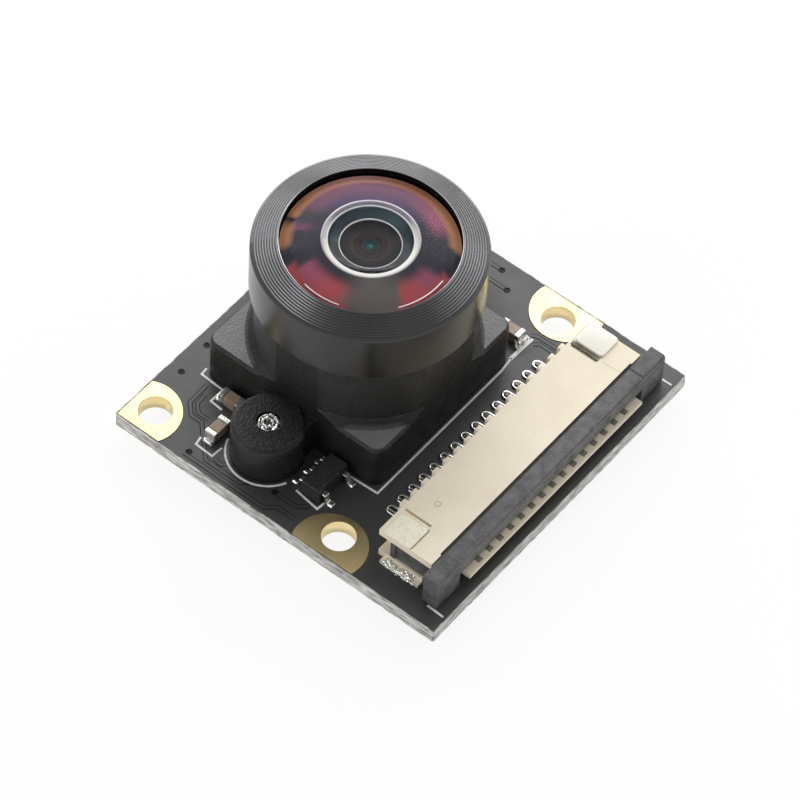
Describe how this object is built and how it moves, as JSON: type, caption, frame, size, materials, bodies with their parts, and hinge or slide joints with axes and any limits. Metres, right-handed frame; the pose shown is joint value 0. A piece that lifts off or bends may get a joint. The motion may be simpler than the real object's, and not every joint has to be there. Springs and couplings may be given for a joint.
{
  "type": "camera module",
  "caption": "Small board camera with a screwed-on lens holder, a wide-angle threaded lens and a flat-cable connector with a locking slider.",
  "frame": {"origin": "under the centre of the board's outline, level with the heads of the holder screws, which are the lowest faces", "axes": "+X along the connector's edge, -Y towards the connector's edge, where the cable leaves, +Z the way the lens looks"},
  "size_m": [0.0244, 0.0242, 0.0145],
  "materials": {
    "board_resist": "satin black solder resist on glass-fibre laminate",
    "pad_gold": "bright gold plating",
    "holder_plastic": "grained black moulded plastic",
    "screw_steel": "nickel-plated steel",
    "filter_glass": "coated glass",
    "sensor_package": "dark sensor package",
    "cover_glass": "clear cover glass",
    "barrel_metal": "black anodised aluminium",
    "cap_metal": "black anodised aluminium, finely turned face",
    "front_glass": "coated optical glass",
    "second_glass": "coated optical glass",
    "front_spacer_black": "black ring",
    "third_glass": "coated optical glass",
    "stop_black": "matte black ring",
    "fourth_glass": "coated optical glass",
    "rear_glass": "coated optical glass",
    "retainer_metal": "black anodised aluminium",
    "housing_cream": "cream heat-proof plastic",
    "slider_grey": "dark slate-grey plastic",
    "contact_tin": "tin-plated spring bronze",
    "hold_down_tin": "tin-plated sheet",
    "capacitor_ceramic": "tan and brown ceramic",
    "resistor_ceramic": "black glazed ceramic",
    "terminal_tin": "tinned ends",
    "regulator_epoxy": "black moulded epoxy",
    "lead_tin": "tinned leads",
    "oscillator_lid": "nickel lid"
  },
  "bodies": {
    "module": {"circuit_board": "board_resist", "mount_pads": "pad_gold", "lens_holder": "holder_plastic", "holder_screws": "screw_steel", "infrared_filter": "filter_glass", "image_sensor": "sensor_package", "sensor_glass": "cover_glass", "connector_housing": "housing_cream", "connector_contacts": "contact_tin", "connector_hold_downs": "hold_down_tin", "capacitor_bodies": "capacitor_ceramic", "resistor_bodies": "resistor_ceramic", "chip_terminals": "terminal_tin", "regulator_bodies": "regulator_epoxy", "regulator_leads": "lead_tin", "clock_oscillator": "oscillator_lid"},
    "lens_glass": {"front_element": "front_glass", "second_element": "second_glass", "front_spacer": "front_spacer_black", "third_element": "third_glass", "aperture_stop": "stop_black", "fourth_element": "fourth_glass", "rear_element": "rear_glass"},
    "lens_body": {"lens_barrel": "barrel_metal", "front_cap": "cap_metal", "rear_retainer": "retainer_metal"},
    "slider": {"connector_slider": "slider_grey"}
  },
  "joints": [
    {"name": "lens_focus_travel", "type": "slide", "parent": "module", "child": "lens_glass", "axis": [0, 0, 1], "range_m": [-0.00025, 0.0005]},
    {"name": "lens_turn", "type": "hinge", "parent": "lens_glass", "child": "lens_body", "pos_m": [0, 0.00305, 0.00945], "axis": [0, 0, 1], "range_deg": [-180, 360]},
    {"name": "slider_unlock", "type": "slide", "parent": "module", "child": "slider", "axis": [0, -1, 0], "range_m": [0, 0.0012]}
  ],
  "couplings": [
    {"joint": "lens_turn", "follows": "lens_focus_travel", "rad_per_m": 12566}
  ]
}
